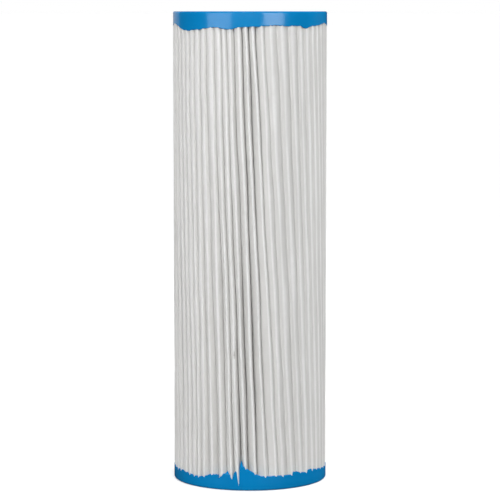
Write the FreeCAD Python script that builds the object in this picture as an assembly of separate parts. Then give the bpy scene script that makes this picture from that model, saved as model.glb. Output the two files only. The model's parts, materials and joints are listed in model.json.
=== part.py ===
"""Pleated filter cartridge for a pool or spa filter, modelled as its separate pieces.

Two poured urethane end caps hold a folded sheet of polyester media round a moulded lattice core.
The core is three sections that snap together end to end, and one bead of hot-melt closes the sheet.
Millimetres, +Z up along the cartridge, origin at the centre of the face that it stands on.
"""

import math
import os

import FreeCAD
import Part

# Whole cartridge
OVERALL_LENGTH = 330.0
CAP_DIAMETER = 108.0

# End caps
CAP_THICKNESS = 9.5
CAP_WEB = 3.0
CAP_EDGE_RADIUS = 1.2
BORE_DIAMETER = 52.4
BORE_LEAD_IN = 0.8
SEAL_LIP = 1.4
FACE_RECESS_DEPTH = 0.8
FACE_RECESS_LAND = 5.0
STANDOFF_COUNT = 6
STANDOFF_WIDTH = 2.2
STANDOFF_DEPTH = 1.6

# Pleated media
PLEAT_COUNT = 56
MEDIA_THICKNESS = 0.6
TIP_FOLD_RADIUS = 1.45
ROOT_FOLD_RADIUS = 1.2
RIM_SKIN = 0.4
SEAM_DEPTH = 8.0
SEAM_BEARING = 90.0

# Lattice core
CORE_WALL = 2.4
CORE_TO_MEDIA_GAP = 0.3
CORE_SECTIONS = ("lower", "middle", "upper")
SPIGOT_LENGTH = 6.0
JOINT_CLEARANCE = 0.1
SNAP_BEAD = 0.3
WINDOW_COLUMNS = 12
WINDOW_ROWS = 6
LATTICE_RIB = 4.6
LATTICE_RING = 3.6
WINDOW_CORNER = 1.2

# Worked out from the sizes above
CAP_RADIUS = CAP_DIAMETER / 2
BORE_RADIUS = BORE_DIAMETER / 2
CORE_INNER = BORE_RADIUS + SEAL_LIP
CORE_OUTER = CORE_INNER + CORE_WALL
MEDIA_ROOT = CORE_OUTER + CORE_TO_MEDIA_GAP
MEDIA_TIP = CAP_RADIUS - RIM_SKIN
INNER_LENGTH = OVERALL_LENGTH - 2 * CAP_WEB
PLEAT_PITCH = 2 * math.pi / PLEAT_COUNT
SEAM_ANGLE = math.radians(SEAM_BEARING)
UP = FreeCAD.Vector(0, 0, 1)
ORIGIN = FreeCAD.Vector(0, 0, 0)


def at(radius, angle, z=0.0):
    """The point at this radius and angle, in radians, round the cartridge's axis."""
    return FreeCAD.Vector(radius * math.cos(angle), radius * math.sin(angle), z)


def line(a, b):
    return Part.LineSegment(a, b).toShape()


def arc(a, middle, b):
    return Part.Arc(a, middle, b).toShape()


def revolved(points):
    """A solid of revolution about +Z from (radius, z) corners."""
    outline = [FreeCAD.Vector(r, 0, z) for r, z in points]
    face = Part.Face(Part.makePolygon(outline + outline[:1]))
    return face.revolve(ORIGIN, UP, 360)


# ---------------------------------------------------------------- pleated media


def pleat_angle(pleat):
    """The bearing of a pleat's centre line. Pleat 0 is the first one past the seam."""
    return SEAM_ANGLE + (pleat + 0.5) * PLEAT_PITCH


class PleatSide:
    """One face of the folded sheet: round each tip, straight down a flank, and round each root.

    Tip circles sit on the pleats' centre lines and root circles half a pitch away. A flank is the
    line that touches a tip circle on one side and the next root circle on the other.
    """

    def __init__(self, tip_radius, root_radius):
        self.tip_radius = tip_radius
        self.root_radius = root_radius
        self.tip_centre = MEDIA_TIP - TIP_FOLD_RADIUS
        self.root_centre = MEDIA_ROOT + ROOT_FOLD_RADIUS

    def flank(self, pleat, side):
        """The flank's ends, at the tip and at the root. side is 1 or -1, the way round the axis."""
        tip = at(self.tip_centre, 0)
        root = at(self.root_centre, PLEAT_PITCH / 2)
        along = root - tip
        across = FreeCAD.Vector(along.y, -along.x, 0).normalize()
        cosine = (self.tip_radius + self.root_radius) / along.Length
        normal = along.normalize() * cosine + across * math.sqrt(1 - cosine * cosine)
        ends = [tip + normal * self.tip_radius, root - normal * self.root_radius]
        centre = pleat_angle(pleat)
        return [at(p.Length, centre + side * math.atan2(p.y, p.x)) for p in ends]

    def tip_arc(self, pleat):
        crest = at(self.tip_centre + self.tip_radius, pleat_angle(pleat))
        return arc(self.flank(pleat, -1)[0], crest, self.flank(pleat, 1)[0])

    def root_arc(self, pleat):
        """The fold between this pleat and the next."""
        valley = at(self.root_centre - self.root_radius, pleat_angle(pleat + 0.5))
        return arc(self.flank(pleat, 1)[1], valley, self.flank(pleat + 1, -1)[1])

    def edges(self):
        """Every edge from the first pleat's outer panel to the last one's."""
        made = []
        for pleat in range(PLEAT_COUNT):
            made.append(line(*reversed(self.flank(pleat, -1))))
            made.append(self.tip_arc(pleat))
            made.append(line(*self.flank(pleat, 1)))
            if pleat < PLEAT_COUNT - 1:
                made.append(self.root_arc(pleat))
        return made

    def ends(self):
        """The two free ends of the sheet, either side of the seam."""
        return self.flank(0, -1)[1], self.flank(PLEAT_COUNT - 1, 1)[1]


OUTSIDE = PleatSide(TIP_FOLD_RADIUS, ROOT_FOLD_RADIUS - MEDIA_THICKNESS)
INSIDE = PleatSide(TIP_FOLD_RADIUS - MEDIA_THICKNESS, ROOT_FOLD_RADIUS)


def prism(edges):
    """A closed outline on the XY plane, as tall as the space between the cap webs."""
    face = Part.Face(Part.Wire(Part.__sortEdges__(edges)))
    face.translate(UP * CAP_WEB)
    return face.extrude(UP * INNER_LENGTH)


def pleated_media():
    """One folded sheet, open at the seam, where its two end panels lie side by side."""
    out_first, out_last = OUTSIDE.ends()
    in_first, in_last = INSIDE.ends()
    cut_ends = [line(out_first, in_first), line(out_last, in_last)]
    return prism(OUTSIDE.edges() + INSIDE.edges() + cut_ends)


def seam_bead():
    """Hot-melt between the sheet's end panels, rounded where it meets the core side."""
    tip, first = OUTSIDE.flank(0, -1)
    last = OUTSIDE.flank(PLEAT_COUNT - 1, 1)[1]
    up_first = first + (tip - first).normalize() * SEAM_DEPTH
    up_last = at(up_first.Length, 2 * SEAM_ANGLE - math.atan2(up_first.y, up_first.x))
    valley = at(OUTSIDE.root_centre - OUTSIDE.root_radius, SEAM_ANGLE)
    return prism([
        line(first, up_first),
        line(up_first, up_last),
        line(up_last, last),
        arc(last, valley, first),
    ])


# ---------------------------------------------------------------- lattice core


def section_profile(z0, z1, socket, spigot):
    """The (radius, z) outline of one core section, with a socket below or a spigot above.

    The joint splits the wall in two: the spigot is the inner half and the socket the outer half.
    A small bead round the spigot snaps into a groove in the socket.
    """
    split = (CORE_INNER + CORE_OUTER) / 2
    half_gap = JOINT_CLEARANCE / 2
    bead = SPIGOT_LENGTH / 2

    def joint(radius, z, rise):
        """The stepped wall of one half of the joint, with its bead or groove half way up."""
        return [
            (radius, z),
            (radius, z + bead - rise),
            (radius + rise, z + bead),
            (radius, z + bead + rise),
            (radius, z + SPIGOT_LENGTH - half_gap),
        ]

    if spigot:
        wall = joint(split - half_gap, z1, SNAP_BEAD)
        top = [(CORE_OUTER, z1)] + wall + [(CORE_INNER, z1 + SPIGOT_LENGTH - half_gap)]
    else:
        top = [(CORE_OUTER, z1), (CORE_INNER, z1)]
    if socket:
        wall = joint(split + half_gap, z0, SNAP_BEAD)
        step = z0 + SPIGOT_LENGTH
        wall[-1] = (split + half_gap, step)
        bottom = [(CORE_INNER, step)] + wall[::-1] + [(CORE_OUTER, z0)]
    else:
        bottom = [(CORE_INNER, z0), (CORE_OUTER, z0)]
    return bottom + top


def window_cutters(z0, z1):
    """The openings of one section, as radial blocks with rounded corners."""
    row_height = (z1 - z0 - LATTICE_RING) / WINDOW_ROWS
    height = row_height - LATTICE_RING
    width = 2 * CORE_INNER * math.sin(math.pi / WINDOW_COLUMNS) - LATTICE_RIB
    block = Part.makeBox(CORE_WALL * 3, width, height)
    block.translate(FreeCAD.Vector(CORE_INNER - CORE_WALL, -width / 2, 0))
    radial = [e for e in block.Edges if abs(e.tangentAt(e.FirstParameter).x) > 0.99]
    corner = min(WINDOW_CORNER, width / 3, height / 3)
    block = block.makeFillet(corner, radial)
    made = []
    for row in range(WINDOW_ROWS):
        for column in range(WINDOW_COLUMNS):
            one = block.copy()
            one.translate(UP * (z0 + LATTICE_RING + row * row_height))
            one.rotate(ORIGIN, UP, 360 * column / WINDOW_COLUMNS)
            made.append(one)
    return made


def core_sections():
    """The stacked lattice sections, from the bottom up, keyed by name."""
    count = len(CORE_SECTIONS)
    pitch = INNER_LENGTH / count
    made = {}
    for i, name in enumerate(CORE_SECTIONS):
        z0 = CAP_WEB + i * pitch
        z1 = z0 + pitch
        lowest, highest = i == 0, i == count - 1
        tube = revolved(section_profile(z0, z1, socket=not lowest, spigot=not highest))
        window_low = CAP_THICKNESS if lowest else z0 + SPIGOT_LENGTH
        window_high = OVERALL_LENGTH - CAP_THICKNESS if highest else z1
        made[f"core_section_{name}"] = tube.cut(window_cutters(window_low, window_high))
    return made


# ---------------------------------------------------------------- end caps


def cap_blank():
    """The lower cap before anything is set in it, standing on z = 0."""
    ring = Part.makeCylinder(CAP_RADIUS, CAP_THICKNESS)
    rim = [e for e in ring.Edges if abs(e.BoundBox.ZMax) < 1e-6 and e.Length > CAP_RADIUS]
    ring = ring.makeFillet(CAP_EDGE_RADIUS, rim)
    bore = revolved([
        (0, -1),
        (BORE_RADIUS + BORE_LEAD_IN + 1, -1),
        (BORE_RADIUS, BORE_LEAD_IN),
        (BORE_RADIUS, CAP_THICKNESS + 1),
        (0, CAP_THICKNESS + 1),
    ])
    recess_inner = CORE_OUTER + FACE_RECESS_LAND
    recess_outer = CAP_RADIUS - FACE_RECESS_LAND
    recess = revolved([
        (recess_inner, -1),
        (recess_outer, -1),
        (recess_outer, FACE_RECESS_DEPTH / 2),
        (recess_outer - FACE_RECESS_DEPTH / 2, FACE_RECESS_DEPTH),
        (recess_inner + FACE_RECESS_DEPTH / 2, FACE_RECESS_DEPTH),
        (recess_inner, FACE_RECESS_DEPTH / 2),
    ])
    return ring.cut([bore, recess] + standoff_marks(recess_inner, recess_outer))


def standoff_marks(inner, outer):
    """Radial slots left by the mould ribs that hold the pleats off its floor while the resin sets."""
    length = (outer - inner) * 0.6
    middle = (outer + inner) / 2
    slot = Part.makeBox(length, STANDOFF_WIDTH, STANDOFF_DEPTH + 1)
    slot.translate(FreeCAD.Vector(middle - length / 2, -STANDOFF_WIDTH / 2, -1))
    upright = [e for e in slot.Edges if abs(e.tangentAt(e.FirstParameter).z) > 0.99]
    slot = slot.makeFillet(STANDOFF_WIDTH * 0.45, upright)
    made = []
    for i in range(STANDOFF_COUNT):
        one = slot.copy()
        one.rotate(ORIGIN, UP, 360 * (i + 0.5) / STANDOFF_COUNT)
        made.append(one)
    return made


def end_caps(embedded):
    """Both caps, with a pocket that fits each embedded piece."""
    bottom = cap_blank()
    middle = FreeCAD.Vector(0, 0, OVERALL_LENGTH / 2)
    top = bottom.mirror(middle, UP)
    return {"bottom_end_cap": bottom.cut(embedded), "top_end_cap": top.cut(embedded)}


def build():
    """Every piece by node name."""
    pieces = {"pleated_media": pleated_media(), "media_seam_bead": seam_bead()}
    pieces.update(core_sections())
    pieces.update(end_caps(list(pieces.values())))
    return pieces


def main():
    os.makedirs("parts", exist_ok=True)
    for name, shape in build().items():
        if not shape.isValid() or shape.Volume <= 0:
            raise ValueError(f"{name} is not a valid solid")
        shape.exportStep(f"parts/{name}.step")
        box = shape.BoundBox
        print(name, "solids", len(shape.Solids), "faces", len(shape.Faces),
              "volume", round(shape.Volume, 1), "z", round(box.ZMin, 2), round(box.ZMax, 2))


main()
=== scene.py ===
"""Looks for the pleated filter cartridge: its folded media, its two cast caps, the seam and the core.

Lengths of the cartridge are in millimetres until mesh_piece() turns them into metres. The floor, the lights,
the camera and the materials' sizes are in metres. A bearing is measured in degrees round the cartridge's axis
from the front, -Y, and grows towards +X.
"""

import json
import math

import bpy
import numpy as np
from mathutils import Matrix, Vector


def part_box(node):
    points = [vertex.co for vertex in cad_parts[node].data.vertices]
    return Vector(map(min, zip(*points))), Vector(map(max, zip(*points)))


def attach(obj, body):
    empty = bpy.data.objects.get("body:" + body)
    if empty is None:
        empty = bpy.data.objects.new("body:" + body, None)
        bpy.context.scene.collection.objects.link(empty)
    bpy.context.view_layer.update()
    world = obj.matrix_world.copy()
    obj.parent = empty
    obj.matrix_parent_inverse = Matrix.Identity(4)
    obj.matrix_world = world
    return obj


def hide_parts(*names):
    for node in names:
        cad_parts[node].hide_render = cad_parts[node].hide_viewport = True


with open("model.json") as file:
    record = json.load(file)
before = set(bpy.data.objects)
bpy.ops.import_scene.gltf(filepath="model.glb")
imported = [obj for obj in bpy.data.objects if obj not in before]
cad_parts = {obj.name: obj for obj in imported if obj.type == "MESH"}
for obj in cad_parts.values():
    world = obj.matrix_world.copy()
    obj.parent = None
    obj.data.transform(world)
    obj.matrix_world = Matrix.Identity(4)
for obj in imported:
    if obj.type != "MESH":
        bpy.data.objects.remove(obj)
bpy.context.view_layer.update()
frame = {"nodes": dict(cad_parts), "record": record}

MM = 1000.0
SEED = 20


def seeded(name):
    """A random generator of its own for each feature, so that a change to one leaves the others alone."""
    return np.random.default_rng([SEED] + [ord(c) for c in name])


# ---------------------------------------------------------------- sizes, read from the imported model

mounts = {m["name"]: m for m in frame["record"]["mounts"]}
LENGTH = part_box("top_end_cap")[1].z * MM
CAP_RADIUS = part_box("bottom_end_cap")[1].x * MM
CAP_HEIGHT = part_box("bottom_end_cap")[1].z * MM
MEDIA_LOW, MEDIA_HIGH = (corner.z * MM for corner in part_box("pleated_media"))
CORE_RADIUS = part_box("core_section_lower")[1].x * MM
BORE_RADIUS = mounts["bottom_bore"]["dims"]["r_mm"]

# ---------------------------------------------------------------- sizes of what only the looks need

SHEET_THICKNESS = 0.6
PLEATS = 56
ROOT_RADIUS = 31.5
ROOT_FOLD = 0.9
# Half the width of an untraced pleat's fold, and the share of these and the traced widths that is built
TIP_HALF_WIDTH = 1.42
CREST_SHARE = 0.76
NARROWEST_FOLD, WIDEST_FOLD = 0.62, 2.1
# How far inside the caps' walls the crests are where the caps hold them
CREST_INSET = 0.05
# How the folds narrow at each end: by what share, from what distance to the end, and over what length
PINCH_BOTTOM = (0.12, 24, 20)
PINCH_TOP = (0.04, 22, 14)

# Heights at which the front pleats were traced, and their bearings there
TRACE_HIGH = 300.0
TRACE_LOW = 30.0
FRONT_HIGH = [-66.1, -59.5, -53.9, -48.1, -42.1, -36.5, -29.2, -23.5, -18.8, -14.2,
              -7.9, -2.6, 3.1, 9.2, 16, 24.9, 33.2, 40.4, 47]
FRONT_LOW = [-57.4, -51.9, -46.4, -42, -36.6, -30, -22.2, -14.8, -10.1, -4.2,
             2.9, 10.4, 18.5, 24, 31.4, 39.6, 46.2, 53.2, 59.5]
# Half the width of the same pleats' folds
FRONT_WIDE_HIGH = [1.35, 1.3, 1.35, 1.3, 1.25, 1.5, 1.65, 1.35, 1.4, 1.2,
                   1.9, 1.3, 1.5, 1.6, 1.35, 1.3, 1.3, 1.3, 1.35]
FRONT_WIDE_LOW = [1.35, 1.2, 1.3, 1.35, 1.4, 1.55, 1.95, 1.15, 1.75, 1.35,
                  1.5, 1.5, 1.6, 1.5, 1.4, 1.3, 1.3, 1.35, 1.35]


def smooth(x):
    """Eases from 0 to 1 while x goes from 0 to 1, and is held outside that."""
    x = np.clip(x, 0, 1)
    return x * x * (3 - 2 * x)


def drift(name, rows, z, waves):
    """Smooth noise along z for each of several rows: waves is a list of (wavelength, size)."""
    rng = seeded(name)
    total = np.zeros((rows, len(z)))
    for wavelength, size in waves:
        phase = rng.uniform(0, 2 * math.pi, (rows, 1))
        stretch = rng.uniform(0.8, 1.25, (rows, 1))
        total += size * np.sin(2 * math.pi * z[None, :] / (wavelength * stretch) + phase)
    return total


def ring_noise(name, bearings, waves):
    """Smooth noise round the axis: waves is a list of (largest number of waves in a turn, size)."""
    rng = seeded(name)
    total = np.zeros_like(bearings)
    for count, size in waves:
        for k in range(max(1, int(count * 0.6)), count + 1):
            total += size / math.sqrt(max(1, count * 0.4)) * np.sin(
                k * np.radians(bearings) + rng.uniform(0, 2 * math.pi))
    return total


# ---------------------------------------------------------------- where the pleats run

TRACED = len(FRONT_HIGH)
OTHERS = PLEATS - TRACED
jitter = seeded("spacing")


def all_round(front):
    """The traced bearings, and the remaining pleats spread unevenly round the back."""
    fill = np.linspace(front[-1], front[0] + 360, OTHERS + 2)[1:-1]
    return np.concatenate([front, fill])


def scattered(reach):
    """Random shifts of up to this many degrees for the pleats that weren't traced."""
    return np.concatenate([np.zeros(TRACED), jitter.uniform(-reach, reach, OTHERS)])


uneven = scattered(0.8)
bearing_high = all_round(FRONT_HIGH) + uneven
bearing_low = all_round(FRONT_LOW) + uneven + scattered(0.5)


# Left of this bearing the pleats lean in an S, more so over this many degrees, and by this share of a full S
S_BEND_START, S_BEND_EASE = 5, 45
S_BEND_SHARE = 0.6


def pleat_bearings(z):
    """Bearing of every pleat's tip at every height, from the leftmost traced one rightwards all round."""
    along = (TRACE_HIGH - z[None, :]) / (TRACE_HIGH - TRACE_LOW)
    left = smooth((S_BEND_START - bearing_high[:, None]) / S_BEND_EASE)
    s_curve = smooth(along) - np.clip(along, 0, 1)
    curve = along + S_BEND_SHARE * left * s_curve
    track = bearing_high[:, None] + (bearing_low - bearing_high)[:, None] * curve
    track += drift("wander", PLEATS, z, [(150, 0.22), (70, 0.12), (31, 0.05)])
    return track


# ---------------------------------------------------------------- mesh helpers


def mesh_piece(name, points, faces, node, material):
    """A piece in place of a CAD node, riding on the cartridge."""
    mesh = bpy.data.meshes.new(name)
    mesh.from_pydata((points / MM).tolist(), [], faces)
    mesh.update()
    mesh.shade_smooth()
    piece = bpy.data.objects.new(name, mesh)
    bpy.context.scene.collection.objects.link(piece)
    mesh.materials.append(material)
    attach(piece, "root")
    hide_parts(node)
    return piece


def grid_faces(rows, columns, wrap_rows, wrap_columns):
    """Quads between neighbouring points of a rows x columns grid."""
    r = np.arange(rows if wrap_rows else rows - 1)
    c = np.arange(columns if wrap_columns else columns - 1)
    r0, c0 = np.meshgrid(r, c, indexing="ij")
    r1, c1 = (r0 + 1) % rows, (c0 + 1) % columns
    quads = np.stack([r0 * columns + c0, r0 * columns + c1, r1 * columns + c1, r1 * columns + c0], -1)
    return quads.reshape(-1, 4)


def on_ring(radius, bearing, z):
    """Points at these radii, bearings and heights."""
    angle = np.radians(bearing)
    return np.stack([radius * np.sin(angle), -radius * np.cos(angle), z + 0 * angle], -1)


def stacked(loop, z):
    """Points of a closed outline, given at every height as an array of (point, height, 2), row by row."""
    heights = np.broadcast_to(z[None, :, None], (*loop.shape[:2], 1))
    return np.concatenate([loop, heights], -1).transpose(1, 0, 2).reshape(-1, 3)


# ---------------------------------------------------------------- pleated media


def media_levels():
    """Heights of the mesh's rows: close together near the caps and further apart between them."""
    low = [MEDIA_LOW, 4.5, 6, 7.2, 8.4, 9.6, 10.8, 12, 13.4, 15, 17, 19.5, 22.5, 26, 30.5, 36]
    high = [LENGTH - v for v in (3, 6, 8, 9.5, 10.8, 12.2, 14, 16.5, 20, 25, 32)]
    middle = np.linspace(low[-1], high[-1], 26)[1:-1]
    return np.array(low + list(middle) + high[::-1])


# Length at each end over which the folds are flush with the caps, and the length over which that eases off
HELD_LENGTH = 14.0
EASED_LENGTH = 30.0


def clear_of_caps(z):
    """1 along most of the cartridge, easing to 0 where the caps hold the folds flush with their walls."""
    return smooth((z - HELD_LENGTH) / EASED_LENGTH) * smooth((LENGTH - HELD_LENGTH - z) / EASED_LENGTH)


def tip_radius(z):
    """How far out the crests of the folds reach, flush with the caps."""
    wobble = drift("reach", PLEATS, z, [(190, 0.06), (60, 0.03)])
    return CAP_RADIUS - CREST_INSET - clear_of_caps(z)[None, :] * (CREST_INSET - wobble)


def tip_half_width(z):
    """Half the width of each fold. Folds are pinched where the resin holds them."""
    rng = seeded("fold widths")
    other = rng.normal(TIP_HALF_WIDTH, 0.1, OTHERS)
    high = np.concatenate([FRONT_WIDE_HIGH, other])
    low = np.concatenate([FRONT_WIDE_LOW, other + rng.normal(0, 0.06, OTHERS)])
    along = smooth((TRACE_HIGH - z) / (TRACE_HIGH - TRACE_LOW))
    width = high[:, None] + (low - high)[:, None] * along[None, :]
    width = width * CREST_SHARE + drift("fold width", PLEATS, z, [(95, 0.06), (37, 0.03)])
    (bottom, from_bottom, bottom_ease), (top, from_top, top_ease) = PINCH_BOTTOM, PINCH_TOP
    pinch = (bottom * smooth((from_bottom - z) / bottom_ease)
             + top * smooth((z - LENGTH + from_top) / top_ease))
    return np.clip(width * (1 - pinch[None, :]), NARROWEST_FOLD, WIDEST_FOLD)


# Points round each outer and inner fold
TIP_STEPS = 7
ROOT_STEPS = 3
# A little over a right angle, the furthest from a crest that its unevenness reaches
QUARTER_TURN = 1.6
TOUCH_CLEARANCE = 0.05
TOUCH_ROUNDING = 0.4
# Share of a short panel that the rounding may take
SHORT_ROUNDING = 0.3
# Least distances along the pack's outside, from a fold's side to half-way to the next crest, and to where
# it touches
SIDE_ROOM = 0.6
TOUCH_ROOM = 0.55
# How many crests each root's bearing is averaged over
ROOT_AVERAGE = 6
# How far the panels left of the crests swell at mid-length, by bearing, and the right ones' share of that.
# Panels shorter than the length swell less
BULGE_BEARINGS = [-90, -50, 8, 20, 90]
BULGE = [0.2, 0.4, 0.4, 0.0, 0.0]
RIGHT_BULGE = 0.3
BULGE_LENGTH = 3.0
# Where the panels have points, as shares of the way from the fold to where it touches
LEFT_SHARES = (0.3, 0.65)
RIGHT_SHARES = (0.45,)
# Cosine of half the bend at the sharpest bend that is mitred in full
SHARPEST_MITRE = 0.75

# Where neighbouring folds touch under their crests, by bearing: share of the way to the next crest, and depth
TOUCH_BEARINGS = [-90, -60, -40, -22, -14, -8, 3, 11, 18, 30, 60, 90]
TOUCH_SHARE_HIGH = [0.40, 0.22, 0.26, 0.30, 0.32, 0.36, 0.36, 0.34, 0.55, 0.62, 0.58, 0.50]
TOUCH_SHARE_LOW = [0.40, 0.22, 0.28, 0.42, 0.34, 0.34, 0.28, 0.28, 0.45, 0.60, 0.58, 0.50]
TOUCH_DEPTH_HIGH = [2.2, 1.4, 1.5, 1.6, 1.7, 4.4, 5.6, 1.8, 1.1, 1.1, 1.1, 2.2]
TOUCH_DEPTH_LOW = [2.2, 1.6, 1.8, 5.4, 2.8, 7.0, 8.5, 4.4, 1.4, 1.1, 0.95, 2.2]


def polar(radius, bearing):
    """Points at these radii and bearings, seen along the axis."""
    angle = np.radians(bearing)
    return np.stack([radius * np.sin(angle), -radius * np.cos(angle)], -1)


def unit(v):
    return v / np.linalg.norm(v, axis=-1, keepdims=True)


def by_bearing(bearing, high, low, along):
    """A value given by bearing near the top and near the bottom, and blended between them."""
    at_top, at_bottom = np.interp(bearing, TOUCH_BEARINGS, high), np.interp(bearing, TOUCH_BEARINGS, low)
    return at_top * (1 - along) + at_bottom * along


def touches(tips, half, z):
    """Middle of the sheet on both sides of each place where a fold touches the next one."""
    following = np.concatenate([tips[1:], tips[:1] + 360])
    pitch = np.radians(following - tips) * CAP_RADIUS
    middle = ((tips + following) / 2 + 180) % 360 - 180
    along = smooth((TRACE_HIGH - z) / (TRACE_HIGH - TRACE_LOW))[None, :]
    share = by_bearing(middle, TOUCH_SHARE_HIGH, TOUCH_SHARE_LOW, along)
    share = share + drift("touch share", PLEATS, z, [(130, 0.03), (50, 0.015)])
    next_half = np.roll(half, -1, axis=0)
    share = np.clip(share, (half + TOUCH_ROOM) / pitch, 1 - (next_half + TOUCH_ROOM) / pitch)
    depth = by_bearing(middle, TOUCH_DEPTH_HIGH, TOUCH_DEPTH_LOW, along)
    depth = depth * (1 + drift("touch depth", PLEATS, z, [(170, 0.12), (64, 0.06)]))
    bearing = tips + (following - tips) * share
    angle = np.radians(bearing)
    aside = np.stack([np.cos(angle), np.sin(angle)], -1) * (SHEET_THICKNESS / 2 + TOUCH_CLEARANCE)
    centre = polar(CAP_RADIUS - depth, bearing)
    return centre - aside, centre + aside


def tangent(start, start_radius, finish, finish_radius, sign):
    """The straight panel between two folds that turn opposite ways: its ends and its outward normal."""
    along = finish - start
    span = np.linalg.norm(along, axis=-1, keepdims=True)
    along = along / span
    across = sign * np.stack([along[..., 1], -along[..., 0]], -1)
    cosine = (start_radius + finish_radius) / span
    normal = along * cosine + across * np.sqrt(1 - cosine ** 2)
    return start + normal * start_radius, finish - normal * finish_radius, normal


def sweep(start, finish, facing, steps):
    """Unit vectors that turn from one to another, passing the way that faces `facing`."""
    base = np.arctan2(facing[..., 1], facing[..., 0])

    def turned(v):
        return (np.arctan2(v[..., 1], v[..., 0]) - base + math.pi) % (2 * math.pi) - math.pi

    a, b = turned(start), turned(finish)
    share = np.linspace(0, 1, steps)[:, None, None]
    turn = a[None] + (b - a)[None] * share
    return np.stack([np.cos(base[None] + turn), np.sin(base[None] + turn)], -1), turn


def sheet_line(z):
    """Middle of the sheet at every height, from one side of the seam at the back round to the other."""
    tips, half = pleat_bearings(z), tip_half_width(z)
    centre = tips[:, len(z) // 2]
    tips = tips - 360 * np.floor((centre - 180) / 360)[:, None]
    order = np.argsort(tips[:, len(z) // 2])
    tips, half, reach = tips[order], half[order], tip_radius(z)[order]
    for looped in ([tips[-1:] - 360, tips], [tips, tips[:1] + 360]):
        spacing = np.radians(np.diff(np.concatenate(looped), axis=0)) * CAP_RADIUS
        half = np.minimum(half, spacing / 2 - SIDE_ROOM)
    fold = (half - SHEET_THICKNESS / 2)[..., None]

    beyond = ROOT_AVERAGE // 2
    around = np.concatenate([tips[-beyond:] - 360, tips, tips[:beyond] + 360])
    roots = np.mean([around[k:k + PLEATS + 1] for k in range(ROOT_AVERAGE)], axis=0)
    roots += drift("roots", PLEATS + 1, z, [(160, 0.15)])
    roots[-1] = roots[0] + 360

    tip_centre = polar(reach - half, tips)
    root_centre = polar(ROOT_RADIUS + 0 * roots, roots)
    touch_r, touch_next = touches(tips, half, z)
    touch_l = np.roll(touch_next, 1, axis=0)

    tip_l, _, normal_l = tangent(tip_centre, fold, touch_l, 0, -1)
    tip_r, _, normal_r = tangent(tip_centre, fold, touch_r, 0, 1)
    _, root_l, inner_l = tangent(touch_l, 0, root_centre[:-1], ROOT_FOLD, -1)
    _, root_r, inner_r = tangent(touch_r, 0, root_centre[1:], ROOT_FOLD, 1)

    outward = unit(tip_centre)
    tip_dir, tip_turn = sweep(normal_l, normal_r, outward, TIP_STEPS)
    crest = (drift("crests", PLEATS, z, [(120, 0.04), (45, 0.02)]) * clear_of_caps(z))[order]
    tip_points = tip_centre[None] + tip_dir * fold[None]
    lift = crest[None] * np.cos(tip_turn) ** 2 * (np.abs(tip_turn) < QUARTER_TURN)
    tip_points += outward[None] * lift[..., None]

    inner_centre = root_centre[1:-1]
    root_dir, _ = sweep(-inner_r[:-1], -inner_l[1:], -unit(inner_centre), ROOT_STEPS)
    root_points = inner_centre[None] + root_dir * ROOT_FOLD

    bow = drift("bow", PLEATS, z, [(140, 0.08), (66, 0.05)])[order][..., None]
    facing = (tips + 180) % 360 - 180
    bulge = np.interp(facing, BULGE_BEARINGS, BULGE)[..., None]

    def panel(tip, touch, root, normal, bulge, shares):
        """From the fold down past the place where it touches its neighbour, swollen most at mid-length."""
        length = np.linalg.norm(touch - tip, axis=-1, keepdims=True)
        swell = (bulge + bow) * np.clip(length / BULGE_LENGTH, 0, 1) * 4
        made = [tip + (touch - tip) * s + normal * swell * s * (1 - s) for s in shares]
        return made + [touch + unit(tip - touch) * np.minimum(TOUCH_ROUNDING, length * SHORT_ROUNDING),
                       touch + unit(root - touch) * TOUCH_ROUNDING]

    left = np.array(panel(tip_l, touch_l, root_l, normal_l, bulge, LEFT_SHARES))[::-1]
    right = np.array(panel(tip_r, touch_r, root_r, normal_r, bulge * RIGHT_BULGE, RIGHT_SHARES))
    line = [root_l[:1]]
    for i in range(PLEATS):
        line += [left[:, i], tip_points[:, i], right[:, i]]
        if i < PLEATS - 1:
            line.append(root_points[:, i])
    line.append(root_r[-1:])
    return np.concatenate(line)


def sheet_faces(line):
    """The sheet's outer and inner faces, half a thickness to either side of its middle."""
    along = unit(np.diff(line, axis=0))
    normal = np.stack([along[..., 1], -along[..., 0]], -1)
    before = np.concatenate([normal[:1], normal])
    after = np.concatenate([normal, normal[-1:]])
    middle = unit(before + after)
    stretch = 1 / np.clip((middle * after).sum(-1, keepdims=True), SHARPEST_MITRE, 1)
    offset = middle * stretch * SHEET_THICKNESS / 2
    return line + offset, line - offset


def media_mesh(line, z, material):
    """The sheet as a closed skin: both faces, the two cut ends at the seam and the two embedded edges."""
    outer, inner = sheet_faces(line)
    loop = np.concatenate([outer, inner[::-1]])
    count, levels = loop.shape[:2]
    faces = [grid_faces(levels, count, False, True)]
    half = count // 2
    j = np.arange(half - 1)
    strip = np.stack([j, count - 1 - j, count - 2 - j, j + 1], -1)
    faces.append(strip)
    faces.append(strip[:, ::-1] + (levels - 1) * count)
    faces = np.concatenate(faces).tolist()
    return mesh_piece("folded_media", stacked(loop, z), faces, "pleated_media", material)


# ---------------------------------------------------------------- end caps

COLUMNS = 24 * PLEATS
BEARINGS = np.arange(COLUMNS) * 360.0 / COLUMNS - 180

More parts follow.
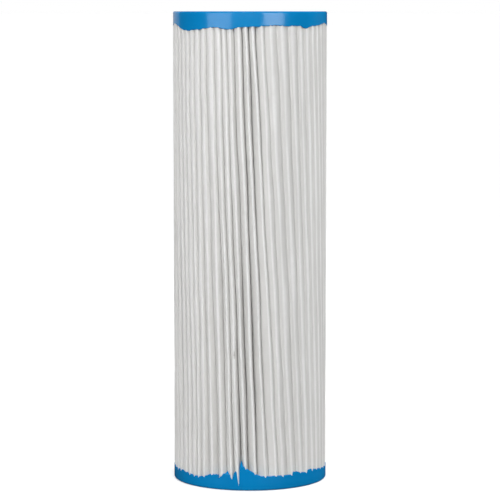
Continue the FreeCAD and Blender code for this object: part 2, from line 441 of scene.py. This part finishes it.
# The edge of the resin where it stands up round the media: (bearing, height over the cap's outer face)
BOTTOM_EDGE = [
    (-95, 9.2), (-66, 9.0), (-62, 9.4), (-56, 8.8), (-49, 8.1), (-43, 7.7), (-40, 7.7), (-36, 8.5),
    (-33, 9.4), (-30, 10.8), (-27, 10.4), (-25, 10.8), (-21, 11.3), (-18.5, 11.8), (-16.5, 11.6),
    (-14.8, 11.0), (-12.4, 11.4), (-11.3, 13.2), (-9.6, 13.8), (-8.6, 12.0), (-8.1, 9.0), (-7.8, 15.8),
    (-7, 16.9), (-5.5, 17.2), (-3.5, 16.8), (-2, 15.5), (1, 13.6), (4.5, 11.8), (8, 10.2), (12, 10.0),
    (16, 9.9), (19, 10.3), (22, 10.0), (32.8, 9.8), (33.8, 11.6), (37, 11.5), (40, 10.7), (47.8, 9.7),
    (48.8, 11.1), (52, 11.4), (57, 10.5), (66, 9.7), (75, 8.9), (95, 9.3)]
TOP_EDGE = [
    (-95, 9.2), (-78, 8.4), (-72, 9.0), (-66, 10.6), (-60, 12.6), (-54, 13.2), (-50, 13.4), (-46.5, 12.6),
    (-41, 12.6), (-38, 12.3), (-35, 11.6), (-31, 11.4), (-27, 10.9), (-24, 11.2), (-20, 12.1), (-16, 12.4),
    (-13, 12.2), (-10.5, 11.3), (-8, 10.9), (-4, 10.8), (1, 10.5), (7.5, 10.5), (10, 10.0), (14, 10.0),
    (19, 9.5), (24, 10.0), (29, 10.3), (34, 9.9), (40, 10.1), (43, 11.4), (46, 12.0), (49, 10.8),
    (53, 10.2), (57, 10.0), (61, 9.7), (67, 8.9), (73, 8.2), (95, 9.2)]
# Folds that lie over the outside of the bottom cap: (bearing of the point, height, reach left, reach right)
LONG_TIPS = [(-24.0, 7.3, 1.2, 3.2), (-13.3, 7.2, 1.6, 1.0), (-8.25, 2.7, 1.7, 0.5)]
# Height of the edge at the back, and the bearings over which the traced front gives way to it
BACK_EDGE = 9.9
FRONT_REACH, FRONT_EASE = 72, 20
# Height over a cap's outer face at which the folds' bearings and widths are taken, and the share of a fold's
# width that shows there
FOLD_HEIGHT = 10.0
FOLD_SHOWN = 0.85
# Exponents of the points' sides: 1 is straight
NOTCH_SHAPE, LONG_TIP_SHAPE = 0.8, 0.9
# Range of depths of the points that the folds cut into the edge
BOTTOM_NOTCHES = (0.5, 1.6)
TOP_NOTCHES = (0.05, 0.35)
# Resin that has crept up between two folds of the bottom cap: (bearing, rise), and its reach each way in
# degrees
CLIMBS = [(-6.6, 5.5), (-17.2, 2.5)]
CLIMB_REACH = 1.8


def traced_edge(control, name):
    """Height of the resin's edge all round: the traced front and a back of the same unevenness."""
    at = np.array([c[0] for c in control])
    height = np.array([c[1] for c in control])
    front = np.interp(BEARINGS, at, height)
    back = BACK_EDGE + ring_noise(name, BEARINGS, [(9, 0.9), (30, 0.7)])
    share = smooth((np.abs(BEARINGS) - FRONT_REACH) / FRONT_EASE)
    return front * (1 - share) + back * share


def notches(edge, tips, depth, half_width):
    """Cuts a point into the edge under each fold that shows through it."""
    for tip, deep, half in zip(tips, depth, half_width):
        away = np.abs((BEARINGS - tip + 180) % 360 - 180) / half
        edge = edge - deep * np.clip(1 - away, 0, 1) ** NOTCH_SHAPE
    return edge


def long_tip(edge, tip, height, left, right):
    """Brings the edge down to a point under one fold."""
    away = np.where(BEARINGS < tip, (tip - BEARINGS) / left, (BEARINGS - tip) / right)
    slope = height + (edge - height) * np.clip(away, 0, 1) ** LONG_TIP_SHAPE
    return np.where(away < 1, np.minimum(edge, slope), edge)


def cap_edge(top):
    """Height of the resin's edge all round one cap, with a point under each fold."""
    z = np.array([LENGTH - FOLD_HEIGHT if top else FOLD_HEIGHT])
    tips = pleat_bearings(z)[:, 0]
    half = np.degrees(tip_half_width(z)[:, 0] * FOLD_SHOWN / CAP_RADIUS)
    rng = seeded("top notches" if top else "bottom notches")
    if top:
        edge = traced_edge(TOP_EDGE, "top edge")
        edge = notches(edge, tips, rng.uniform(*TOP_NOTCHES, PLEATS), half)
    else:
        edge = traced_edge(BOTTOM_EDGE, "bottom edge")
        edge = notches(edge, tips, rng.uniform(*BOTTOM_NOTCHES, PLEATS), half)
        for spec in LONG_TIPS:
            edge = long_tip(edge, *spec)
    return edge + ring_noise("edge fine", BEARINGS, [(150, 0.05), (420, 0.03)])


def climb_inside(top):
    """Resin that has crept up between two folds, above the edge."""
    rise = np.zeros_like(BEARINGS)
    if not top:
        for bearing, height in CLIMBS:
            rise += height * np.clip(1 - np.abs(BEARINGS - bearing) / CLIMB_REACH, 0, 1)
    return rise


# The outer face: depth and land of its recess, the slots in it, and how its corners are softened
FACE_RECESS = 0.8
FACE_LAND = 5.0
RECESS_SLOPE = 0.5
RECESS_RINGS = 26
SLOTS = 6
SLOT_DEPTH = 1.6
SLOT_HALF_WIDTH = 1.1
SLOT_HALF_LENGTH = 4.2
SLOT_SOFTNESS = 0.18
LEAD_IN = 0.8
EDGE_FILLET = 1.2
CORNER = 0.25
LAND_CORNER = 0.15
RECESS_CORNER = 0.12
EASING = 0.06
BORE_MIDDLE = 4.0
# The resin inside the wall: radius of the edge's lip, how far the resin lies under the cap's inner face,
# and its rings, as (radius, share of the way from that level up to the edge)
LIP = 0.35
RESIN_DROP = 0.9
RESIN_RINGS = ((53.2, 1.0), (52.4, 0.9), (51.2, 0.75), (49.5, 0.5), (47, 0.25), (43.5, 0.08), (39, 0),
               (34, 0))
# Radii between which the climbing resin shows, and how fast it comes in and goes out
CLIMB_INSIDE, CLIMB_INSIDE_EASE = 44, 5
CLIMB_OUTSIDE, CLIMB_OUTSIDE_EASE = 53.9, 1.2
# The rim that holds the core: (base radius, distance out from it, drop under the cap's inner face)
CORE_RIM = ((CORE_RADIUS, 0.15, 0.05), (CORE_RADIUS, -1.2, 0.1), (BORE_RADIUS, 1.15, 0.05),
            (BORE_RADIUS, 0.3, 0), (BORE_RADIUS, 0.05, 0.1), (BORE_RADIUS, 0, 0.4))


def in_slot(radius, bearing):
    """1 inside the six radial slots in a cap's face and 0 outside, with rounded ends and soft sides."""
    middle = (CORE_RADIUS + CAP_RADIUS) / 2
    step = 360.0 / SLOTS
    near = (bearing - 90) % step - step / 2
    across = radius * np.sin(np.radians(near))
    along = np.abs(radius * np.cos(np.radians(near)) - middle)
    reach = np.hypot(across, np.clip(along - (SLOT_HALF_LENGTH - SLOT_HALF_WIDTH), 0, None))
    return smooth((SLOT_HALF_WIDTH + SLOT_SOFTNESS - reach) / (2 * SLOT_SOFTNESS))


def face_rings():
    """Rings of a cap's outer side, from inside the bore to the fillet, as (radius, height)."""
    recess_in, recess_out = CORE_RADIUS + FACE_LAND, CAP_RADIUS - FACE_LAND
    rings = [(BORE_RADIUS, BORE_MIDDLE), (BORE_RADIUS, LEAD_IN + CORNER), (BORE_RADIUS + EASING, LEAD_IN),
             (BORE_RADIUS + LEAD_IN, EASING), (BORE_RADIUS + LEAD_IN + CORNER, 0),
             (recess_in - LAND_CORNER, 0), (recess_in, EASING)]
    floor_radii = np.linspace(recess_in + RECESS_SLOPE, recess_out - RECESS_SLOPE, RECESS_RINGS)
    for radius in [recess_in + RECESS_CORNER, *floor_radii, recess_out - RECESS_CORNER]:
        base = (FACE_RECESS * smooth((radius - recess_in) / RECESS_SLOPE)
                * smooth((recess_out - radius) / RECESS_SLOPE))
        rings.append((radius, base + in_slot(radius, BEARINGS) * (SLOT_DEPTH - FACE_RECESS)))
    rings += [(recess_out, EASING), (recess_out + LAND_CORNER, 0)]
    for turn in np.radians([0, 22.5, 45, 67.5, 90]):
        rings.append((CAP_RADIUS - EDGE_FILLET + EDGE_FILLET * math.sin(turn),
                      EDGE_FILLET * (1 - math.cos(turn))))
    return rings


def resin_rings(name, top):
    """Rings of a cap's wall, of its edge and of the resin inside it, down to the bore."""
    edge = cap_edge(top)
    rings = [(CAP_RADIUS, EDGE_FILLET + (edge - EDGE_FILLET) * share) for share in (0.35, 0.7, 0.93)]
    for turn in np.radians([0, 35, 65, 90]):
        rings.append((CAP_RADIUS - LIP + LIP * math.cos(turn), edge - LIP + LIP * math.sin(turn)))
    level = CAP_HEIGHT - RESIN_DROP
    climb = climb_inside(top)
    for radius, share in RESIN_RINGS:
        shown = (smooth((radius - CLIMB_INSIDE) / CLIMB_INSIDE_EASE),
                 smooth((CLIMB_OUTSIDE - radius) / CLIMB_OUTSIDE_EASE))
        body = level + (edge - LIP - level) * share + climb * shown[0] * shown[1]
        unevenness = ring_noise(f"{name} {radius}", BEARINGS, [(40, 0.12), (120, 0.08)])
        rings.append((radius, body + unevenness))
    rings.append((CORE_RADIUS + 0.9, level + 0.1))
    return rings + [(base + out, CAP_HEIGHT - drop) for base, out, drop in CORE_RIM]


def cap_mesh(name, node, top, material):
    """One cast cap, closed: its rings run from the bore over the outer face, up the wall and back inside."""
    rings = face_rings() + resin_rings(name, top)
    radii = np.array([radius + 0 * BEARINGS for radius, _ in rings])
    heights = np.array([height + 0 * BEARINGS for _, height in rings])
    z = LENGTH - heights if top else heights
    points = on_ring(radii, np.broadcast_to(BEARINGS, radii.shape), z)
    faces = grid_faces(len(rings), COLUMNS, True, True)
    if top:
        faces = faces[:, ::-1]
    return mesh_piece(name, points.reshape(-1, 3), faces.tolist(), node, material)


# ---------------------------------------------------------------- seam

# How far the bead reaches out along the sheet's ends, how far its top and its inside are moved towards the
# axis, and how its corners are rounded
BEAD_DEPTH = 7.6
BEAD_TOP = 0.5
BEAD_VALLEY = 0.35
BEAD_ROUNDING = 0.15
VALLEY_ROUNDING = 0.1


def seam_mesh(line, z, material):
    """The bead between the sheet's two end panels, following them as they lean."""
    outer = sheet_faces(line)[0]
    first, last = outer[0], outer[-1]
    first_out = unit(outer[1] - outer[0])
    last_out = unit(outer[-2] - outer[-1])
    depth = BEAD_DEPTH + drift("bead top", 1, z, [(60, 0.5), (19, 0.35)])[0][:, None]
    inward = -unit(first + last)
    rise_a, rise_b = first + first_out * depth, last + last_out * depth
    top_middle = (rise_a + rise_b) / 2 + inward * BEAD_TOP
    valley = (first + last) / 2 + inward * BEAD_VALLEY
    loop = np.array([
        first + (last - first) * 0.02, first + first_out * depth * 0.5, rise_a,
        (rise_a * 2 + top_middle) / 3 + inward * BEAD_ROUNDING, top_middle,
        (rise_b * 2 + top_middle) / 3 + inward * BEAD_ROUNDING, rise_b, last + last_out * depth * 0.5, last,
        (last + valley) / 2 + inward * VALLEY_ROUNDING, valley,
        (first + valley) / 2 + inward * VALLEY_ROUNDING])
    count, levels = loop.shape[:2]
    points = stacked(loop, z)
    points = np.concatenate([points, [points[:count].mean(0), points[-count:].mean(0)]])
    faces = grid_faces(levels, count, False, True)[:, ::-1].tolist()
    base, top = count * levels, count * levels + 1
    for j in range(count):
        k = (j + 1) % count
        faces.append([base, j, k])
        faces.append([top, (levels - 1) * count + k, (levels - 1) * count + j])
    return mesh_piece("seam_bead", points, faces, "media_seam_bead", material)


# ---------------------------------------------------------------- materials

SCUFF_BEARING = -11.5
SCUFF_HEIGHT = 95.0
SCUFF_INSET = 0.2


def mapped(tree, value, low, high, start, end):
    """Maps a value from one range to another, held at its ends."""
    node = tree.nodes.new("ShaderNodeMapRange")
    tree.links.new(value, node.inputs["Value"])
    for key, number in (("From Min", low), ("From Max", high), ("To Min", start), ("To Max", end)):
        node.inputs[key].default_value = number
    return node.outputs["Result"]


class Graph:
    """A material's node tree, with short ways to add to it."""

    def __init__(self, name):
        self.material = bpy.data.materials.new(name)
        self.material.use_nodes = True
        self.tree = self.material.node_tree
        self.shader = self.tree.nodes["Principled BSDF"]
        self.place = self.add("ShaderNodeTexCoord").outputs["Object"]

    def add(self, kind, **settings):
        node = self.tree.nodes.new(kind)
        for key, value in settings.items():
            setattr(node, key, value)
        return node

    def link(self, source, target):
        self.tree.links.new(source, target)

    def stretched(self, scale):
        """The place on the object with each axis scaled: a pattern is drawn out where that is below 1."""
        node = self.add("ShaderNodeMapping")
        self.link(self.place, node.inputs["Vector"])
        node.inputs["Scale"].default_value = scale
        return node.outputs["Vector"]

    def noise(self, scale, detail, roughness, distortion=0.0, place=None):
        node = self.add("ShaderNodeTexNoise")
        self.link(place or self.place, node.inputs["Vector"])
        node.inputs["Scale"].default_value = scale
        node.inputs["Detail"].default_value = detail
        node.inputs["Roughness"].default_value = roughness
        node.inputs["Distortion"].default_value = distortion
        return node.outputs["Fac"]

    def spots(self, scale, place=None):
        """Distance to the nearest of many scattered points."""
        node = self.add("ShaderNodeTexVoronoi")
        self.link(place or self.place, node.inputs["Vector"])
        node.inputs["Scale"].default_value = scale
        return node.outputs["Distance"]

    def ramp(self, value, low, high, start=0.0, end=1.0):
        """Maps a value from one range to another, held at its ends."""
        return mapped(self.tree, value, low, high, start, end)

    def mix(self, share, a, b):
        """A colour between two colours, or between a colour socket and a colour."""
        node = self.add("ShaderNodeMix", data_type="RGBA")
        self.link(share, node.inputs["Factor"])
        for socket, value in ((node.inputs[6], a), (node.inputs[7], b)):
            if isinstance(value, tuple):
                socket.default_value = (*value, 1)
            else:
                self.link(value, socket)
        return node.outputs[2]

    def total(self, *values):
        """Sum of (socket, weight) pairs."""
        result = None
        for socket, weight in values:
            node = self.add("ShaderNodeMath", operation="MULTIPLY_ADD")
            self.link(socket, node.inputs[0])
            node.inputs[1].default_value = weight
            if result is None:
                node.inputs[2].default_value = 0
            else:
                self.link(result, node.inputs[2])
            result = node.outputs[0]
        return result

    def near(self, bearing, height, scale):
        """Distance from a point on the outside of the folds, in metres, measured with each axis scaled."""
        point = on_ring(CAP_RADIUS - SCUFF_INSET, np.array(bearing), height) / MM * np.array(scale)
        node = self.add("ShaderNodeVectorMath", operation="DISTANCE")
        self.link(self.stretched(scale), node.inputs[0])
        node.inputs[1].default_value = point.tolist()
        return node.outputs["Value"]

    def from_axis(self):
        """Distance from the cartridge's axis, in metres."""
        flat = self.stretched((1, 1, 0))
        node = self.add("ShaderNodeVectorMath", operation="LENGTH")
        self.link(flat, node.inputs[0])
        return node.outputs["Value"]

    def bump(self, height, distance, strength):
        node = self.add("ShaderNodeBump")
        self.link(height, node.inputs["Height"])
        node.inputs["Distance"].default_value = distance
        node.inputs["Strength"].default_value = strength
        self.link(node.outputs["Normal"], self.shader.inputs["Normal"])

    def fixed(self, **values):
        """Sets the shader's own inputs, with _ for each space in their names."""
        for key, value in values.items():
            self.shader.inputs[key.replace("_", " ")].default_value = value


BLUE_DEEP, BLUE_CLEAR, BLUE_BUBBLE = (0.001, 0.212, 0.52), (0.002, 0.242, 0.58), (0.03, 0.30, 0.62)


def urethane():
    """Cast polyurethane: glossy, with faint flow marks, small bubbles and a slightly cloudy blue."""
    g = Graph("cast urethane")
    cloud = g.noise(45, 4, 0.6, 0.6)
    flow = g.noise(140, 3, 0.5, 1.2, g.stretched((1, 1, 2.2)))
    grain = g.noise(900, 2, 0.6)
    bubbles = g.ramp(g.spots(170), 0.0, 0.16, 1.0, 0.0)
    colour = g.mix(g.ramp(cloud, 0.3, 0.72), BLUE_DEEP, BLUE_CLEAR)
    colour = g.mix(g.ramp(bubbles, 0.3, 1.0, 0.0, 0.35), colour, BLUE_BUBBLE)
    g.link(colour, g.shader.inputs["Base Color"])
    g.link(g.ramp(g.total((flow, 0.7), (grain, 0.3)), 0.3, 0.7, 0.13, 0.22), g.shader.inputs["Roughness"])
    g.bump(g.total((cloud, 0.5), (flow, 0.35), (grain, 0.03), (bubbles, -0.12)), 0.00015, 0.45)
    g.fixed(Specular_IOR_Level=0.2)
    return g.material


FIBRE_THIN, FIBRE_DENSE = (0.89, 0.885, 0.875), (0.93, 0.93, 0.925)
# Painted shade between the crests, and, faintly, a darker tone of its own in parts of the mat
PAINTED_SHADE_AND_MAT_TONE = (0.74, 0.735, 0.72)
FLECK = (0.42, 0.40, 0.38)
SCUFF = (0.34, 0.32, 0.30)
# How far under the caps' radius the painted shade of the valleys starts to fade towards the crests, and where
# it is gone
VALLEY_SHADE_FADE_DEPTH, VALLEY_SHADE_GONE_DEPTH = 0.42, 0.13


def polyester():
    """Spun-bonded polyester: matt, with a mat of fibres, cloudy density, a few dark flecks, one scuff and
    painted shade in the valleys.
    """
    g = Graph("spun-bonded polyester")
    cloud = g.noise(60, 5, 0.62, 0.4)
    fibres_a = g.noise(1500, 4, 0.7, 1.5, g.stretched((1, 1, 0.28)))
    fibres_b = g.noise(1200, 4, 0.7, 1.8, g.stretched((0.5, 0.5, 1.6)))
    mat = g.noise(420, 4, 0.65, 0.8)
    fleck = g.ramp(g.spots(42, g.stretched((1, 1, 0.8))), 0.0, 0.035, 1.0, 0.0)
    colour = g.mix(g.ramp(cloud, 0.3, 0.7), FIBRE_THIN, FIBRE_DENSE)
    # Painted shade: where the fibre lies deeper than the crests it darkens to the shaded tone, so the valleys
    # between the folds carry painted shade and the crests stay pale
    crest = g.ramp(g.from_axis(), (CAP_RADIUS - VALLEY_SHADE_FADE_DEPTH) / MM, (CAP_RADIUS - VALLEY_SHADE_GONE_DEPTH) / MM)
    colour = g.mix(crest, PAINTED_SHADE_AND_MAT_TONE, colour)
    colour = g.mix(g.ramp(mat, 0.35, 0.68, 0.0, 0.2), colour, PAINTED_SHADE_AND_MAT_TONE)
    colour = g.mix(g.ramp(fleck, 0.2, 1.0, 0.0, 0.4), colour, FLECK)
    ragged = g.total((g.near(SCUFF_BEARING, SCUFF_HEIGHT, (1, 1, 0.3)), 1.0), (mat, 0.0016))
    scuff = g.ramp(ragged, 0.0009, 0.0019, 0.6, 0.0)
    colour = g.mix(scuff, colour, SCUFF)
    g.link(colour, g.shader.inputs["Base Color"])
    g.link(g.ramp(mat, 0.3, 0.7, 0.82, 0.95), g.shader.inputs["Roughness"])
    g.bump(g.total((mat, 0.6), (fibres_a, 0.35), (fibres_b, 0.35), (cloud, 0.6)), 0.00035, 0.6)
    g.fixed(Specular_IOR_Level=0.2, Subsurface_Weight=1.0, Subsurface_Scale=0.001)
    g.shader.inputs["Subsurface Radius"].default_value = (1.2, 1.2, 1.2)
    return g.material


PLASTIC_DULL, PLASTIC_PALE = (0.74, 0.75, 0.74), (0.80, 0.81, 0.80)
MELT_DULL, MELT_PALE = (0.72, 0.67, 0.52), (0.80, 0.76, 0.63)
FLOOR_DULL, FLOOR_PALE = (0.92, 0.92, 0.92), (0.94, 0.94, 0.94)


def moulded_plastic():
    """White polypropylene with a fine spark-eroded texture and faint flow lines."""
    g = Graph("moulded polypropylene")
    cloud = g.noise(70, 3, 0.5)
    texture = g.noise(1800, 2, 0.6)
    flow = g.noise(120, 2, 0.5, 0.8, g.stretched((1, 1, 0.2)))
    colour = g.mix(g.ramp(cloud, 0.3, 0.7), PLASTIC_DULL, PLASTIC_PALE)
    g.link(colour, g.shader.inputs["Base Color"])
    g.link(g.ramp(g.total((texture, 0.5), (flow, 0.5)), 0.35, 0.65, 0.38, 0.52), g.shader.inputs["Roughness"])
    g.bump(g.total((texture, 0.6), (flow, 0.4)), 0.00006, 0.5)
    g.fixed(Subsurface_Weight=0.08)
    g.shader.inputs["Subsurface Radius"].default_value = (0.002, 0.002, 0.002)
    return g.material


def hot_melt():
    """Cream adhesive with soft ripples from the nozzle."""
    g = Graph("hot-melt adhesive")
    ripple = g.noise(160, 3, 0.5, 0.7, g.stretched((1, 1, 1.8)))
    cloud = g.noise(80, 3, 0.5)
    colour = g.mix(g.ramp(cloud, 0.3, 0.7), MELT_DULL, MELT_PALE)
    g.link(colour, g.shader.inputs["Base Color"])
    g.link(g.ramp(ripple, 0.3, 0.7, 0.28, 0.45), g.shader.inputs["Roughness"])
    g.bump(g.total((ripple, 1.0), (cloud, 0.4)), 0.0005, 0.6)
    return g.material


def floor_paint():
    """Matt and near white, with a faint glow."""
    g = Graph("pale floor")
    tone = g.noise(3, 3, 0.5)
    g.link(g.mix(g.ramp(tone, 0.3, 0.7), FLOOR_DULL, FLOOR_PALE), g.shader.inputs["Base Color"])
    g.fixed(Roughness=0.9, Specular_IOR_Level=0.1, Emission_Strength=0.2)
    g.shader.inputs["Emission Color"].default_value = (1, 1, 1, 1)
    return g.material


# ---------------------------------------------------------------- the cartridge

levels = media_levels()
middle_line = sheet_line(levels)
media = media_mesh(middle_line, levels, polyester())

blue = urethane()
cap_mesh("bottom_cap", "bottom_end_cap", False, blue)
cap_mesh("top_cap", "top_end_cap", True, blue)
seam_mesh(middle_line, levels, hot_melt())
plastic = moulded_plastic()
for section in ("core_section_lower", "core_section_middle", "core_section_upper"):
    node = frame["nodes"][section]
    node.data.materials.clear()
    node.data.materials.append(plastic)

# ---------------------------------------------------------------- floor, light and camera

FLOOR_DROP = 0.0002
FLOOR_RINGS = (0.2, 0.5, 1.5, 5, 15, 60, 400.0)
FLOOR_SIDES = 48


def floor():
    """A wide pale disc that the cartridge stands on. It doesn't light, shade or mirror in the cartridge."""
    points, faces = [(0, 0, -FLOOR_DROP)], []
    for radius in FLOOR_RINGS:
        for k in range(FLOOR_SIDES):
            angle = 2 * math.pi * k / FLOOR_SIDES
            points.append((radius * math.cos(angle), radius * math.sin(angle), -FLOOR_DROP))
    for k in range(FLOOR_SIDES):
        faces.append((0, 1 + k, 1 + (k + 1) % FLOOR_SIDES))
    for i in range(len(FLOOR_RINGS) - 1):
        a, b = 1 + i * FLOOR_SIDES, 1 + (i + 1) * FLOOR_SIDES
        for k in range(FLOOR_SIDES):
            k1 = (k + 1) % FLOOR_SIDES
            faces.append((a + k, b + k, b + k1, a + k1))
    mesh = bpy.data.meshes.new("floor")
    mesh.from_pydata(points, [], faces)
    mesh.update()
    mesh.materials.append(floor_paint())
    disc = bpy.data.objects.new("floor", mesh)
    bpy.context.scene.collection.objects.link(disc)
    disc.visible_diffuse = disc.visible_glossy = disc.visible_shadow = False


TOP = Vector((0, 0, LENGTH / MM))
MIDDLE = Vector((0, 0, LENGTH / MM / 2))

# Azimuth, elevation, angular size in degrees, and strength of the far-off main light
KEY = (-8, 52, 50, 0.88)
KEY_DISTANCE = 3
# Area lights: name, azimuth, elevation, distance, width, height, watts, aim, and how they light. A "body"
# light shows in no reflection, and a "gloss" light shows only in reflections
BOXES = [("front box", -9, 24, 1.05, 0.7, 0.7, 5.7, MIDDLE, "body"),
         ("left box", -46, 4, 1.5, 1.0, 0.9, 18, TOP, "gloss"),
         ("right box", 35, 4, 1.5, 0.8, 0.9, 24, TOP, "gloss"),
         ("left rim", -150, 4, 1.2, 0.9, 0.9, 1.7, TOP, "gloss"),
         ("right fill", 122, 12, 1.2, 0.5, 0.8, 11, TOP, "body")]


def add_light(name, data, azimuth, elevation, distance, aim):
    """Puts a light at this azimuth, 0 in front and 90 to the right, and points it at the cartridge."""
    lamp = bpy.data.objects.new(name, data)
    bpy.context.scene.collection.objects.link(lamp)
    a, e = math.radians(azimuth), math.radians(elevation)
    away = Vector((math.sin(a) * math.cos(e), -math.cos(a) * math.cos(e), math.sin(e)))
    lamp.location = aim + distance * away
    lamp.rotation_euler = (aim - lamp.location).to_track_quat("-Z", "Y").to_euler()
    return lamp


def key_light(azimuth, elevation, spread, strength):
    """A broad, far-off light, which lights the whole floor evenly and shows in no reflection."""
    data = bpy.data.lights.new("key", "SUN")
    data.angle = math.radians(spread)
    data.energy = strength
    add_light("key", data, azimuth, elevation, KEY_DISTANCE, MIDDLE).visible_glossy = False


def softbox(name, azimuth, elevation, distance, width, height, watts, aim, lights):
    """A rectangular area light."""
    data = bpy.data.lights.new(name, "AREA")
    data.shape = "RECTANGLE"
    data.size, data.size_y = width, height
    data.energy = watts
    lamp = add_light(name, data, azimuth, elevation, distance, aim)
    lamp.visible_diffuse = lights == "body"
    lamp.visible_glossy = lights == "gloss"


# Strength of the studio's white: at the horizon, overhead, added below, and as glossy surfaces mirror it
SKY_LOW = 0.19
SKY_HIGH = 0.95
BOUNCE = 0.08
MIRRORED = 0.03


def studio_world():
    """A white studio: dim at the horizon, bright overhead, and plain white to the camera."""
    world = bpy.data.worlds.new("studio")
    bpy.context.scene.world = world
    world.use_nodes = True
    tree = world.node_tree
    back = tree.nodes["Background"]
    back.inputs["Color"].default_value = (1, 1, 1, 1)
    place = tree.nodes.new("ShaderNodeTexCoord")
    split = tree.nodes.new("ShaderNodeSeparateXYZ")
    tree.links.new(place.outputs["Generated"], split.inputs["Vector"])
    both = tree.nodes.new("ShaderNodeMath")
    tree.links.new(mapped(tree, split.outputs["Z"], 0.0, 1.0, SKY_LOW, SKY_HIGH), both.inputs[0])
    tree.links.new(mapped(tree, split.outputs["Z"], -0.9, 0.0, BOUNCE, 0.0), both.inputs[1])
    rays = tree.nodes.new("ShaderNodeLightPath")
    strength = both.outputs[0]
    for kind, value in (("Is Glossy Ray", MIRRORED), ("Is Camera Ray", 1.0)):
        choice = tree.nodes.new("ShaderNodeMix")
        tree.links.new(rays.outputs[kind], choice.inputs["Factor"])
        tree.links.new(strength, choice.inputs[2])
        choice.inputs[3].default_value = value
        strength = choice.outputs[0]
    tree.links.new(strength, back.inputs["Strength"])


CAMERA_DISTANCE = 1.617
CAMERA_PITCH = 5.934
CAMERA_LENS = 165.35
SENSOR_WIDTH = 36


def camera():
    """Level with the top face and looking slightly down, so that the top is edge on."""
    data = bpy.data.cameras.new("camera")
    data.lens = CAMERA_LENS
    data.sensor_width = SENSOR_WIDTH
    data.clip_start, data.clip_end = 0.05, 2000
    cam = bpy.data.objects.new("camera", data)
    bpy.context.scene.collection.objects.link(cam)
    cam.location = (0, -CAMERA_DISTANCE, LENGTH / MM)
    cam.rotation_euler = (math.radians(90 - CAMERA_PITCH), 0, 0)
    bpy.context.scene.camera = cam


floor()
key_light(*KEY)
for box in BOXES:
    softbox(*box)
studio_world()
camera()
bpy.context.scene.view_settings.view_transform = "Standard"
